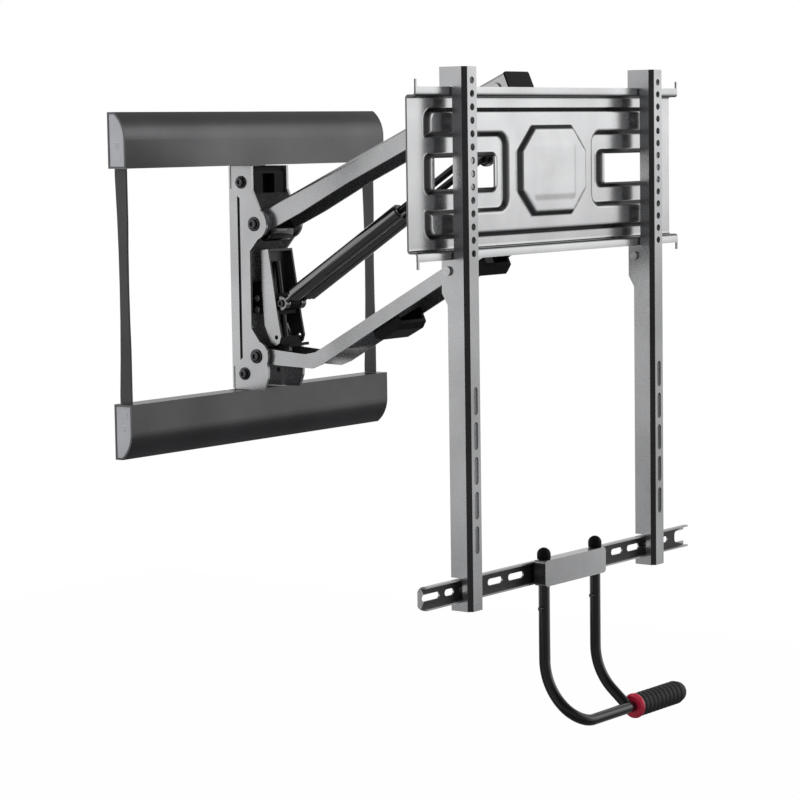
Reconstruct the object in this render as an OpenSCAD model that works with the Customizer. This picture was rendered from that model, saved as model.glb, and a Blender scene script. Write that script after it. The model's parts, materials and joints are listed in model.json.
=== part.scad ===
// Pull-down television wall mount: a wall column, a parallelogram arm with twin gas springs,
// a swivelling and tilting mounting plate, two rails and a pull handle.
// X runs across the wall, Y runs into the wall, Z is up. The wall is the plane Y = 0,
// and the origin is the middle of the wall frame. In side profiles the first coordinate
// is the distance forward of the wall and the second is the height.

/* [Wall frame] */
// Width of the wall frame over its covers
cover_w = 524; // [440:2:620]
// Height of the wall frame over its covers
frame_h = 440; // [440:2:480]
// Height of one cover
cover_h = 71; // [68:1:80]
// Depth of a cover from the wall
cover_d = 30; // [28:1:36]
// Wall thickness of a cover
cover_t = 2.5; // [2:0.5:3]
// Distance between the wall studs that the lag slots suit
stud_pitch = 406.4; // [380:0.8:410]
// Width of a lag slot
lag_slot_w = 9; // [7:0.5:11]
// Length of a lag slot
lag_slot_len = 36; // [24:1:44]
// Depth of the side strips
strip_d = 19; // [14:1:24]

/* [Column] */
// Half width between the inner faces of the cheeks
cheek_in = 34; // [33.5:0.5:40]
// Thickness of a cheek plate
cheek_t = 4; // [3:0.5:5]
// Distance of the wall pivots forward of the wall
pivot_f = 46; // [44:1:50]
// Height of the upper wall pivot above the middle
pivot_up = 72; // [66:1:76]
// Distance between the upper and the lower pivots
pivot_gap = 175; // [170:1:180]
// Radius of the wall pivot pins
pin_r = 7; // [6:0.5:8]
// Running clearance of a pin in its bore
run_gap = 0.05; // [0.03:0.01:0.08]
// Gap between pieces that sit side by side
side_gap = 0.3; // [0.2:0.05:0.4]

/* [Arms] */
// Distance between the pivots of an arm
arm_len = 420; // [400:5:440]
// Angle of the arms above level as stored
arm_angle = 23.5; // [18:0.5:28]
// Thickness of the arm steel
arm_t = 3; // [2.5:0.5:3.5]
// Half width of the upper arm
upper_half_w = 26; // [25.5:0.5:28]
// Half width of the lower arm
lower_half_w = 31; // [30.5:0.5:32]
// Outer bend radius of the arm channels
arm_bend_r = 5; // [4:0.5:6]
// Radius of the front pivot pins
front_pin_r = 6; // [5:0.5:7]

/* [Gas springs] */
// Distance of each spring from the middle
spring_x = 16; // [15:0.5:17]
// Radius of a spring cylinder
cylinder_r = 10; // [8:0.5:10.5]
// Length from the lower eye to the cylinder's mouth
cylinder_len = 234; // [220:1:238]
// Radius of a spring rod
rod_r = 4.5; // [4:0.5:5]
// Radius of the spring eyes
eye_r = 9; // [8.5:0.5:9.5]
// Radius of the spring pins
spring_pin_r = 5; // [4:0.5:5.5]
// Distance of the upper spring pin behind the front pivot
ear_back = 79; // [74:1:84]
// Depth of the upper spring pin below the arm's centre line
ear_v = 55; // [52:1:57]

/* [Head] */
// Distance of the plate's sheet from the front pivots
sheet_gap = 58.8; // [57:0.2:62]
// Width of the mounting plate
plate_w = 560; // [480:2:600]
// Height of the mounting plate
plate_h = 182; // [170:2:200]
// Thickness of the plate and rail steel
sheet_t = 2.5; // [2:0.25:3]
// How far the stamped panels stand forward
stamp_d = 6; // [4:0.5:7]
// Height of the plate's lips
lip_h = 9; // [8:0.5:11]
// Width of a plate window
window_w = 119; // [100:1:122]
// Height of a plate window
window_h = 38; // [28:1:40]

/* [Rails] */
// Distance between the two rails
rail_gap = 400; // [300:10:440]
// Width of a rail
rail_w = 28; // [24:1:32]
// Length of a rail
rail_len = 636; // [600:2:700]
// Distance between the top and the bottom round hole
hole_span = 200; // [180:1:204]
// Number of round holes in a rail
hole_count = 14; // [8:1:15]
// Radius of the round holes and half width of the slots
hole_r = 4.2; // [3.2:0.1:4.5]
// Number of slots in a rail
slot_count = 5; // [2:1:5]
// Distance from slot to slot
slot_pitch = 41; // [38:1:44]
// Length of a slot
slot_len = 33; // [20:1:35]

/* [Handle] */
// Distance between the handle tubes
tube_gap = 112; // [100:1:118]
// Radius of the handle tubes
tube_r = 7; // [6:0.5:7.5]
// Depth of the handle below the crossbar
handle_drop = 182; // [160:1:220]
// How far the handle's bar stands forward of its tubes
handle_reach = 49.5; // [40:0.5:60]
// Length of the foam grip
grip_len = 104; // [80:1:130]
// Radius of the foam grip over its ribs
grip_r = 15; // [12:0.5:17]
// Number of ribs on the grip
grip_ribs = 12; // [6:1:16]

/* [Hidden] */
$fn = 64;

steel = [0.33, 0.34, 0.36];
dark = [0.1, 0.1, 0.11];
cover_grey = [0.24, 0.24, 0.25];
cap_grey = [0.6, 0.61, 0.63];
zinc = [0.62, 0.63, 0.65];
ring_red = [0.72, 0.08, 0.14];
cut = 1;

half_h = frame_h / 2;
cover_bottom = half_h - cover_h;
cap_t = 3;
rail_back_t = 3;
rail_top = half_h - 6;
rail_bottom = cover_bottom + 8;
rail_lip = 14;
column_h = cover_bottom - 1;
tab_t = 3;
tab_half_w = 46;
tab_bolt_x = 30;
tab_bolt_r = 4;
tab_top = rail_top - rail_lip - 1;
tab_bolt_z = (rail_bottom + tab_top) / 2;
column_depth = 31;
column_t = 3;
cheek_out = cheek_in + cheek_t;
cheek_waist = pivot_f - 8;
cheek_back = 22;
fix_z = column_h - 21;
fix_r = 3.2;
fix_f = column_depth - 6;
pivot_low = pivot_up - pivot_gap;

upper_top = 15;
upper_low = -10;
lower_h = 19.5;
web_start = 100;
knee_u = 85;
knee_v = -40;
arm_tip = 19;
front_f = pivot_f + arm_len * cos(arm_angle);
front_up = pivot_up + arm_len * sin(arm_angle);
front_low = front_up - pivot_gap;

channel_tilt = 7;
channel_f = pivot_f + 14;
channel_z = -35;
channel_half = 25;
channel_t = 3;
lower_pin_g = 16;
spring_f = channel_f + lower_pin_g * cos(channel_tilt);
spring_z = channel_z + lower_pin_g * sin(channel_tilt);
ear_u = arm_len - ear_back;
ear_f = pivot_f + ear_u * cos(arm_angle) + ear_v * sin(arm_angle);
ear_z = pivot_up + ear_u * sin(arm_angle) - ear_v * cos(arm_angle);
spring_len = norm([ear_f - spring_f, ear_z - spring_z]);
spring_angle = atan2(ear_z - spring_z, ear_f - spring_f);
ear_slot_w = 18.6;
ear_slot_high = ear_v - 32.2;
ear_slot_low = ear_v - 1;
ear_half = 24;

sheet_f = front_f + sheet_gap;
plate_z = front_up - 98.5;
plate_top = plate_z + plate_h / 2;
plate_low = plate_z - plate_h / 2;
lip_f = sheet_f + 13;
panel_half = plate_w / 2 - 30;
panel_up = plate_h / 2 - 15;
ring_in = window_h / 2 + 5;
ring_out = ring_in + 18;
window_mid = 118 + window_w / 2;
octagon_half_w = 73;
octagon_half_h = 55;
octagon_cut = 30;

link_half = 21.5;
link_t = 4;
swivel_f = front_f + 28;
swivel_r = 6;
lug_z = 28;
lug_t = 6;
tilt_f = swivel_f + 17;
tilt_r = 5;
ear_plate_in = 22;
ear_plate_t = 4;

rail_front = sheet_f + 33.5;
rail_deep = 36.5;
rail_shallow = 28.5;
rail_bend = 4.5;
rail_high = plate_top + 32;
rail_low = rail_high - rail_len;
hole_top = rail_high - 16;
hole_pitch = hole_span / (hole_count - 1);
slot_first = hole_top - 372;
safety_z = plate_low - 22;

bar_h = 28;
bar_f = sheet_f + 12;
bar_d = 9;
bar_z = rail_low + 25;
bar_half = 289;
bracket_half = tube_gap / 2 + tube_r + 3.5;
bracket_h = 32;
tube_f = bar_f + bar_d + side_gap + tube_r;
bracket_f = tube_f + tube_r + 0.5 + 2;
cap_r = tube_r + 1.5;
tube_top = bar_z + bracket_h / 2 + 4;
stud_drop = 28;
grip_z = bar_z - handle_drop;
grip_f = tube_f + handle_reach;
tube_x = tube_gap / 2;
ring_x = tube_x + tube_r + 1;
ring_w = 8;
grip_x = ring_x + ring_w;
plug_x = grip_x + grip_len;
handle_lean = 50;
bend_r = 70;
lean_run = handle_reach / sin(handle_lean);
corner_z = grip_z + handle_reach / tan(handle_lean);
first_cut = bend_r * tan(handle_lean / 2);
side_r = 31;

// Extrudes a side profile, drawn as forward and up, from x0 to x1
module side(x0, x1) {
    translate([x0, 0, 0]) rotate([90, 0, 90]) linear_extrude(x1 - x0) mirror([1, 0, 0]) children();
}

// The same side profile on both sides, between the half widths a and b
module both_sides(a, b) {
    side(a, b) children();
    side(-b, -a) children();
}

// A cylinder across the part, at a forward distance and a height
module rod_x(f, z, r, x0, x1) {
    translate([x0, -f, z]) rotate([0, 90, 0]) cylinder(r = r, h = x1 - x0);
}

// A cylinder that points forward, from f0 to f1
module rod_f(x, z, r, f0, f1) {
    translate([x, -f0, z]) rotate([90, 0, 0]) cylinder(r = r, h = f1 - f0);
}

// A block from the forward distance f0 to f1
module block(x0, x1, f0, f1, z0, z1) {
    translate([x0, -f1, z0]) cube([x1 - x0, f1 - f0, z1 - z0]);
}

// Extrudes a front view, drawn as x and z, between two forward distances
module front(f0, f1) {
    translate([0, -f0, 0]) rotate([90, 0, 0]) linear_extrude(f1 - f0) children();
}

// A rectangle about a middle, with rounded corners
module round_rect(w, h, r) {
    square([w - 2 * r, h], center = true);
    square([w, h - 2 * r], center = true);
    for (sx = [-1, 1], sz = [-1, 1]) {
        translate([sx * (w / 2 - r), sz * (h / 2 - r)]) circle(r = r);
    }
}

// A stadium shape, long in the first direction
module stadium(len, r) {
    square([len - 2 * r, 2 * r], center = true);
    translate([len / 2 - r, 0]) circle(r = r);
    translate([r - len / 2, 0]) circle(r = r);
}

// A channel's cross-section with its web up at height top, open below
module channel_section(half_w, low, top, t, r) {
    difference() {
        union() {
            translate([-half_w, low]) square([2 * half_w, top - low - r]);
            translate([r - half_w, low]) square([2 * (half_w - r), top - low]);
            for (s = [-1, 1]) {
                translate([s * (half_w - r), top - r]) circle(r = r);
            }
        }
        translate([t - half_w, low - cut]) square([2 * (half_w - t), top - low - r + cut]);
        translate([r - half_w, low - cut]) square([2 * (half_w - r), top - low - t + cut]);
        for (s = [-1, 1]) {
            translate([s * (half_w - r), top - r]) circle(r = r - t);
        }
    }
}

// Places children drawn in an arm's own frame, with u forward and v up
module in_arm(z) {
    translate([0, -pivot_f, z]) rotate([-arm_angle, 0, 0]) children();
}

// Places children drawn in the leaning tension channel's frame
module in_channel() {
    translate([0, -channel_f, channel_z]) rotate([-channel_tilt, 0, 0]) children();
}

// Places children drawn along the springs, with the lower pin at the start
module in_spring() {
    translate([0, -spring_f, spring_z]) rotate([-spring_angle, 0, 0]) children();
}

module wall_rail() {
    color(steel) difference() {
        union() {
            block(8 - cover_w / 2, cover_w / 2 - 8, 0, rail_back_t, rail_bottom, rail_top);
            block(8 - cover_w / 2, cover_w / 2 - 8, 0, rail_lip, rail_top - rail_back_t, rail_top);
        }
        for (s = [-1, 1]) {
            front(-cut, rail_back_t + cut) translate([s * stud_pitch / 2, tab_bolt_z])
                stadium(lag_slot_len, lag_slot_w / 2);
            rod_f(s * tab_bolt_x, tab_bolt_z, tab_bolt_r + side_gap, -cut, rail_back_t + cut);
        }
    }
}

module wall_rail_upper() {
    wall_rail();
}

module wall_rail_lower() {
    mirror([0, 0, 1]) wall_rail();
}

module column() {
    color(steel) difference() {
        union() {
            block(-cheek_in, cheek_in, 0, column_t, -column_h, column_h);
            for (s = [-1, 1]) {
                block(s * cheek_in - (s + 1) / 2 * column_t, s * cheek_in - (s - 1) / 2 * column_t,
                    0, column_depth, -column_h, column_h);
            }
            for (s = [0, 1]) {
                mirror([0, 0, s]) block(-tab_half_w, tab_half_w, rail_back_t, rail_back_t + tab_t,
                    column_h - 30, tab_top);
            }
        }
        for (s = [-1, 1], m = [-1, 1]) {
            rod_f(s * tab_bolt_x, m * tab_bolt_z, tab_bolt_r + side_gap, -cut, rail_back_t + tab_t + cut);
        }
        for (m = [-1, 1]) {
            rod_x(fix_f, m * fix_z, fix_r + run_gap, -cheek_in - cut, cheek_in + cut);
        }
    }
}

module column_bolts() {
    color(zinc) for (s = [-1, 1], m = [-1, 1]) {
        rod_f(s * tab_bolt_x, m * tab_bolt_z, tab_bolt_r, 0, rail_back_t + tab_t + 1);
        rod_f(s * tab_bolt_x, m * tab_bolt_z, 7.5, rail_back_t + tab_t, rail_back_t + tab_t + 5);
    }
}

// A cheek plate between x0 and x1, with a lobe round each pivot
module cheek(x0, x1) {
    color(steel) difference() {
        union() {
            side(x0, x1) polygon([[8, column_h], [pivot_f - 3, column_h],
                [pivot_f - 3, pivot_up + 45], [pivot_f + 11, pivot_up + 16],
                [pivot_f + 11, pivot_up - 15], [cheek_waist, pivot_up - 36],
                [cheek_waist, pivot_low + 37], [pivot_f + 9, pivot_low + 15],
                [pivot_f + 17, pivot_low - 6], [pivot_f + 20, pivot_low - 17],
                [pivot_f + 19, pivot_low - 29], [pivot_f + 13, -column_h], [8, -column_h],
                [8, 32 - column_h], [cheek_back, 42 - column_h], [cheek_back, column_h - 42],
                [8, column_h - 32]]);
            rod_x(pivot_f, pivot_up, 21, x0, x1);
            rod_x(pivot_f, pivot_low, 20, x0, x1);
        }
        rod_x(pivot_f, pivot_up, pin_r + run_gap, x0 - cut, x1 + cut);
        rod_x(pivot_f, pivot_low, pin_r + run_gap, x0 - cut, x1 + cut);
        for (m = [-1, 1]) {
            rod_x(fix_f, m * fix_z, fix_r + run_gap, x0 - cut, x1 + cut);
        }
    }
}

module cheek_left() {
    cheek(-cheek_out, -cheek_in);
}

module cheek_right() {
    cheek(cheek_in, cheek_out);
}

module cheek_bolts() {
    color(zinc) for (s = [0, 1], m = [-1, 1]) {
        mirror([s, 0, 0]) {
            rod_x(fix_f, m * fix_z, fix_r, cheek_in - column_t, cheek_out + 2);
            rod_x(fix_f, m * fix_z, 8.5, cheek_out, cheek_out + 1.5);
            rod_x(fix_f, m * fix_z, 6.5, cheek_out + 1.5, cheek_out + 5);
        }
    }
}

// Plastic block between the tops of the cheeks
module stop_block() {
    color(dark) difference() {
        side(side_gap - cheek_in, cheek_in - side_gap) union() {
            translate([rail_back_t + tab_t + side_gap, pivot_up + 40])
                square([pivot_f - 16 - rail_back_t - tab_t, column_h - pivot_up - 41]);
            translate([rail_back_t + tab_t + side_gap, pivot_up + 40])
                square([pivot_f - 6 - rail_back_t - tab_t, column_h - pivot_up - 51]);
            translate([pivot_f - 16 + side_gap, column_h - 11]) circle(r = 10);
        }
        both_sides(cheek_in - column_t - side_gap, cheek_in + cut)
            translate([-cut, pivot_up]) square([column_depth + cut + side_gap, column_h]);
        block(-12, 12, pivot_f - 18, pivot_f + 20, pivot_up, column_h - 10);
    }
}

// Outer cross-section of a cover, set in by e
module cover_outline(e) {
    big_r = 43;
    knee = 35;
    intersection() {
        translate([0, cover_bottom + e]) square([cover_d - e, cover_h - 2 * e]);
        union() {
            translate([0, cover_bottom]) square([cover_d - e, cover_h - knee]);
            translate([cover_d - big_r, half_h - knee]) circle(r = big_r - e, $fn = 128);
        }
    }
}

module cover() {
    color(cover_grey) difference() {
        side(cap_t - cover_w / 2, cover_w / 2 - cap_t) cover_outline(0);
        side(cap_t - cover_w / 2 - cut, cover_w / 2 - cap_t + cut) cover_outline(cover_t);
        block(cap_t - cover_w / 2 - cut, cover_w / 2 - cap_t + cut, -cut, cut / 2,
            cover_bottom + cover_t, half_h - cover_t);
        block(-tab_half_w - 1, tab_half_w + 1, -cut, rail_back_t + tab_t + 1,
            cover_bottom - cut, cover_bottom + cover_t + cut);
    }
}

module cover_upper() {
    cover();
}

module cover_lower() {
    mirror([0, 0, 1]) cover();
}

// End cap of a cover, with a shallow pocket and a screw boss
module cover_cap() {
    color(cap_grey) difference() {
        union() {
            side(cover_w / 2 - cap_t, cover_w / 2) cover_outline(0);
            side(cover_w / 2 - 7.5, cover_w / 2 - cap_t) difference() {
                cover_outline(cover_t + 0.1);
                cover_outline(cover_t + 2.1);
                translate([-cut, 0]) square([rail_lip + 2, half_h]);
            }
        }
        side(cover_w / 2 - 1, cover_w / 2 + cut) translate([cover_d / 2, cover_bottom + 12])
            round_rect(14, 10, 2);
        rod_x(cover_d / 2, cover_bottom + 30, 3, cover_w / 2 - 1.5, cover_w / 2 + cut);
    }
}

module cover_cap_upper_left() {
    mirror([1, 0, 0]) cover_cap();
}

module cover_cap_upper_right() {
    cover_cap();
}

module cover_cap_lower_left() {
    mirror([1, 0, 0]) mirror([0, 0, 1]) cover_cap();
}

module cover_cap_lower_right() {
    mirror([0, 0, 1]) cover_cap();
}

// Thin bowed strip that joins the covers near their ends
module side_strip() {
    bow_r = 2600;
    strip_h = cover_bottom - side_gap;
    color(dark) side(cover_w / 2 - 14, cover_w / 2 - 11) difference() {
        translate([side_gap, -strip_h]) square([strip_d, 2 * strip_h]);
        translate([4 - bow_r, 0]) circle(r = bow_r, $fn = 360);
        translate([strip_d + bow_r - 1, 0]) circle(r = bow_r, $fn = 360);
    }
}

module side_strip_left() {
    mirror([1, 0, 0]) side_strip();
}

module side_strip_right() {
    side_strip();
}

// Box that holds the tension channel off the column
module tension_bracket() {
    bracket_low = channel_z - 12;
    bracket_high = channel_z + 28;
    g = side_gap;
    color(dark) difference() {
        block(side_gap - channel_half, channel_half - side_gap, column_t, channel_f,
            bracket_low, bracket_high);
        in_channel() side(-channel_half, channel_half) polygon([[-13 - g, -60], [-13 - g, -26],
            [-11 - g, 20], [-5 - g, 73], [40, 73], [40, -60]]);
        block(5 - channel_half, channel_half - 5, column_t + 4, channel_f - 17,
            bracket_low - cut, bracket_high + cut);
    }
}

// Side outline of the tension channel in its own leaning frame
module channel_profile() {
    polygon([[-5, 73], [7, 73], [9, 31], [11, -20], [13, -44], [9, -52], [2, -55], [-6, -50],
        [-13, -26], [-11, 20]]);
}

module tension_channel() {
    color(steel) in_channel() {
        both_sides(channel_half - channel_t, channel_half) difference() {
            channel_profile();
            translate([5, -44]) circle(r = 3);
        }
        side(channel_t - channel_half - 0.5, channel_half - channel_t + 0.5) {
            polygon([[-5, 73], [-2.5, 73], [-8.5, 20], [-10.4, -20], [-13, -26], [-11, 20]]);
        }
        side(channel_t - channel_half - 0.5, channel_half - channel_t + 0.5) {
            polygon([[-5, 73], [7, 73], [7, 70], [-5, 70]]);
        }
    }
}

module channel_screws() {
    color(zinc) for (s = [0, 1], dz = [0, 15]) {
        mirror([s, 0, 0]) {
            rod_x(channel_f - 21, channel_z + 8 - dz, 4.5, channel_half - side_gap, channel_half + 3);
        }
    }
}

module tension_screw() {
    color(zinc) in_channel() {
        translate([0, 0, -60]) cylinder(r = 4, h = 117);
        translate([0, 0, -64]) cylinder(r = 6.5, h = 5.5, $fn = 6);
    }
}

// Nut block that rides on the screw and carries the spring pin in a middle lug
module spring_carriage() {
    color(dark) in_channel() difference() {
        union() {
            block(channel_t + side_gap - channel_half, channel_half - channel_t - side_gap,
                -8, 7, -14, 14);
            side(-9, 9) {
                translate([0, -9]) square([lower_pin_g, 18]);
                translate([lower_pin_g, 0]) circle(r = 9);
            }
        }
        translate([0, 0, -20]) cylinder(r = 4 + run_gap, h = 40);
        rod_x(lower_pin_g, 0, spring_pin_r + run_gap, -10, 10);
    }
}

module spring_lower_pin() {
    pin_half = spring_x + 7;
    color(zinc) rod_x(spring_f, spring_z, spring_pin_r, -pin_half, pin_half);
}

module screw_block() {
    color(dark) in_channel() difference() {
        union() {
            block(channel_t + side_gap - channel_half, channel_half - channel_t - side_gap,
                -5, 8, -54, -44);
            block(5 - channel_half, channel_half - 5, -5, 22, -58, -54);
        }
        translate([0, 0, -60]) cylinder(r = 4 + run_gap, h = 20);
    }
}

module pivot_pin(z) {
    color(zinc) {
        rod_x(pivot_f, z, pin_r, -cheek_out - 2, cheek_out + 2);
        for (s = [0, 1]) {
            mirror([s, 0, 0]) {
                rod_x(pivot_f, z, pin_r + 2.5, cheek_out, cheek_out + 1.5);
                rod_x(pivot_f, z, pin_r - 0.5, cheek_out + 1.5, cheek_out + 4.5);
            }
        }
    }
}

module upper_pivot_pin() {
    pivot_pin(pivot_up);
}

module lower_pivot_pin() {
    pivot_pin(pivot_low);
}

// Bushes that fill the space between an arm's flange and the cheeks
module pivot_spacers(z, inner) {
    color(dark) for (s = [0, 1]) {
        mirror([s, 0, 0]) difference() {
            rod_x(pivot_f, z, 13, inner + side_gap, cheek_in);
            rod_x(pivot_f, z, pin_r + run_gap, inner, cheek_in + cut);
        }
    }
}

module upper_pivot_spacers() {
    pivot_spacers(pivot_up, upper_half_w);
}

module lower_pivot_spacers() {
    pivot_spacers(pivot_low, lower_half_w);
}

// Upper arm: an open channel with a hub at the wall and ears that carry the spring pin
module upper_arm() {
    full = arm_len + arm_tip;
    w = upper_half_w + cut;
    color(steel) in_arm(pivot_up) difference() {
        intersection() {
            translate([0, 20, 0]) rotate([90, 0, 0]) linear_extrude(full + 20)
                channel_section(upper_half_w, -ear_v - 30, upper_top, arm_t, arm_bend_r);
            union() {
                side(-w, w) polygon([[-9, upper_top + cut], [full + cut, upper_top + cut],
                    [full + cut, upper_low], [ear_u + ear_half, upper_low],
                    [ear_u + 13, -ear_slot_low], [ear_u - 13, -ear_slot_low],
                    [ear_u - ear_half, upper_low], [160, upper_low], [70, upper_low - 4],
                    [4, -14], [-9, -9]]);
                rod_x(ear_u, -ear_slot_low, 13.6, -w, w);
                rod_x(0, 0, 17, -w, w);
            }
        }
        rod_x(0, 0, pin_r + run_gap, -w, w);
        rod_x(arm_len, 0, front_pin_r + run_gap, -w, w);
        side(-w, w) translate([ear_u, -(ear_slot_high + ear_slot_low) / 2]) rotate(90)
            stadium(ear_slot_w + ear_slot_low - ear_slot_high, ear_slot_w / 2);
    }
}

module upper_arm_hub() {
    color(dark) in_arm(pivot_up) difference() {
        union() {
            rod_x(0, 0, 11.7, arm_t + 2.3 - upper_half_w, upper_half_w - arm_t - 2.3);
            rod_x(0, 0, 9.5, arm_t - upper_half_w, upper_half_w - arm_t);
        }
        rod_x(0, 0, pin_r + run_gap, -upper_half_w, upper_half_w);
    }
}

module upper_arm_end_cap() {
    color(dark) in_arm(pivot_up) front(arm_len + arm_tip, arm_len + arm_tip + 2.5)
        translate([0, (upper_top + upper_low) / 2])
        round_rect(2 * upper_half_w, upper_top - upper_low, 3);
}

// Lower arm: a cranked channel that drops from its pivot and then runs straight
module lower_arm() {
    half = lower_h / 2;
    w = lower_half_w;
    color(steel) in_arm(pivot_low) difference() {
        union() {
            for (m = [0, 1]) {
                mirror([m, 0, 0]) {
                    side(w - arm_t, w) polygon([[-7, 8], [8, 8], [knee_u - 12, knee_v + half + 4],
                        [knee_u + 6, knee_v + half], [arm_len - 20, half - 13], [arm_len + 2, 9],
                        [arm_len + 7, -6], [arm_len - 7, -19], [knee_u + 10, knee_v - half + 1],
                        [knee_u - 8, knee_v - half + 2], [-7, -8]]);
                    rod_x(0, 0, 13, w - arm_t, w);
                    rod_x(arm_len, 0, 12, w - arm_t, w);
                }
            }
            side(0.5 - w, w - 0.5) polygon([[web_start, web_top(web_start) - 0.4],
                [arm_len - 24, web_top(arm_len - 24) - 0.4],
                [arm_len - 24, web_top(arm_len - 24) - arm_t],
                [web_start, web_top(web_start) - arm_t]]);
        }
        rod_x(0, 0, pin_r + run_gap, -w - cut, w + cut);
        rod_x(arm_len, 0, front_pin_r + run_gap, -w - cut, w + cut);
    }
}

// Rise of the lower arm's top edge over its straight run
function half_rise() = lower_h / 2 - 13 - knee_v - lower_h / 2;
// Height of the lower arm's top edge at a place along it
function web_top(u) = knee_v + lower_h / 2 + half_rise() * (u - knee_u - 6) / (arm_len - 26 - knee_u);

module lower_arm_hub() {
    color(dark) in_arm(pivot_low) difference() {
        rod_x(0, 0, 11, arm_t - lower_half_w, lower_half_w - arm_t);
        rod_x(0, 0, pin_r + run_gap, -lower_half_w, lower_half_w);
    }
}

// Cable clip that snaps between the lower arm's flanges and hangs below them
module cable_clip(u, len, drop) {
    low = web_top(u) - lower_h;
    color(dark) in_arm(pivot_low) difference() {
        side(arm_t + side_gap - lower_half_w, lower_half_w - arm_t - side_gap) {
            polygon([[u, low + 12], [u + len, low + 14], [u + len, low - drop + 8],
                [u + len - 8, low - drop + 2], [u + 8, low - drop], [u, low - drop + 6]]);
        }
        side(5 - lower_half_w + arm_t, lower_half_w - arm_t - 5) {
            polygon([[u - cut, low + 13], [u + len + cut, low + 15], [u + len + cut, low - drop + 12],
                [u - cut, low - drop + 9]]);
        }
    }
}

module cable_clip_rear() {
    cable_clip(arm_len - 230, 44, 14);
}

module cable_clip_front() {
    cable_clip(arm_len - 52, 20, 14);
}

// Gas spring cylinder with its lower eye and a rounded mouth
module spring_cylinder(x) {
    color(dark) in_spring() difference() {
        union() {
            rod_x(0, 0, eye_r, x - 4.6, x + 4.6);
            rod_f(x, 0, 4.5, 5, 24);
            rod_f(x, 0, 7, 18, 24);
            rod_f(x, 0, cylinder_r, 24, cylinder_len - 3);
            rod_f(x, 0, cylinder_r - 2, cylinder_len - 3, cylinder_len);
        }
        rod_x(0, 0, spring_pin_r + run_gap, x - 6, x + 6);
        rod_f(x, 0, rod_r + run_gap, 40, cylinder_len + cut);
    }
}

module spring_cylinder_left() {
    spring_cylinder(-spring_x);
}

module spring_cylinder_right() {
    spring_cylinder(spring_x);
}

// Gas spring rod, which runs far into the cylinder and ends in the upper eye
module spring_rod(x) {
    color(zinc) in_spring() difference() {
        union() {
            rod_f(x, 0, rod_r, spring_len - 212, spring_len - 7);
            rod_f(x, 0, 6, spring_len - 18, spring_len - 7);
            rod_x(spring_len, 0, eye_r, x - 4.6, x + 4.6);
        }
        rod_x(spring_len, 0, spring_pin_r + run_gap, x - 6, x + 6);
    }
}

module spring_rod_left() {
    spring_rod(-spring_x);
}

module spring_rod_right() {
    spring_rod(spring_x);
}

module spring_cross_pin() {
    color(zinc) in_spring() {
        rod_x(spring_len, 0, spring_pin_r, -upper_half_w - 2, upper_half_w + 2);
        for (s = [0, 1]) {
            mirror([s, 0, 0]) {
                rod_x(spring_len, 0, 11, upper_half_w + side_gap, upper_half_w + 2.3);
                rod_x(spring_len, 0, 6, upper_half_w + 2.3, upper_half_w + 5);
            }
        }
    }
}

// Upright link that joins the front pivots and keeps the head level
module head_link() {
    color(steel) difference() {
        union() {
            both_sides(link_half - link_t, link_half) {
                translate([front_f, front_low]) circle(r = 13);
                translate([front_f, front_up]) circle(r = 11);
                translate([front_f - 7, front_low]) square([15, pivot_gap]);
                translate([front_f - 7, front_low]) square([23, pivot_gap - 27]);
            }
            block(-link_half + 0.5, link_half - 0.5, front_f + 12, front_f + 16,
                front_low - 4, front_up - 27);
            for (s = [-1, 1]) {
                translate([0, 0, plate_z + s * (lug_z + lug_t / 2) - lug_t / 2]) {
                    block(-13, 13, front_f + 15, swivel_f, 0, lug_t);
                    translate([0, -swivel_f, 0]) cylinder(r = 13, h = lug_t);
                }
            }
        }
        translate([0, -swivel_f, plate_z - 50]) cylinder(r = swivel_r + run_gap, h = 100);
        rod_x(front_f, front_up, front_pin_r + run_gap, -link_half - cut, link_half + cut);
        rod_x(front_f, front_low, front_pin_r + run_gap, -link_half - cut, link_half + cut);
    }
}

// Pin through the front of an arm, with its washers on the inside of the flanges
module front_pin(z, half_w, t) {
    color(zinc) {
        rod_x(front_f, z, front_pin_r, -half_w - 1, half_w + 1);
        for (s = [0, 1]) {
            mirror([s, 0, 0]) {
                rod_x(front_f, z, front_pin_r + 3, half_w + side_gap, half_w + 3);
                rod_x(front_f, z, front_pin_r + 4, link_half + side_gap, half_w - t - side_gap);
            }
        }
    }
}

module front_upper_pin() {
    front_pin(front_up, upper_half_w, arm_t);
}

module front_lower_pin() {
    front_pin(front_low, lower_half_w, arm_t);
}

module swivel_pin() {
    color(zinc) translate([0, -swivel_f, plate_z]) {
        translate([0, 0, -lug_z - lug_t - 1]) cylinder(r = swivel_r, h = 2 * (lug_z + lug_t) + 2);
        for (s = [0, 1]) {
            mirror([0, 0, s]) translate([0, 0, lug_z + lug_t]) cylinder(r = 9, h = 4);
        }
    }
}

// Block that turns on the upright pin and carries the tilt pin at its front
module swivel_block() {
    reach = ear_plate_in - side_gap;
    color(dark) difference() {
        union() {
            translate([0, -swivel_f, plate_z - lug_z + side_gap])
                cylinder(r = 11.5, h = 2 * (lug_z - side_gap));
            block(-reach, reach, swivel_f + 3, tilt_f - 2, plate_z - 20, plate_z + 20);
            rod_x(tilt_f, plate_z, 8, -reach, reach);
        }
        translate([0, -swivel_f, plate_z - 50]) cylinder(r = swivel_r + run_gap, h = 100);
        rod_x(tilt_f, plate_z, tilt_r + run_gap, -30, 30);
    }
}

module tilt_pin() {
    pin_half = ear_plate_in + ear_plate_t;
    color(zinc) {
        rod_x(tilt_f, plate_z, tilt_r, -pin_half - 2, pin_half + 2);
        for (s = [0, 1]) {
            mirror([s, 0, 0]) rod_x(tilt_f, plate_z, 8, pin_half + side_gap, pin_half + 5);
        }
    }
}

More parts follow.
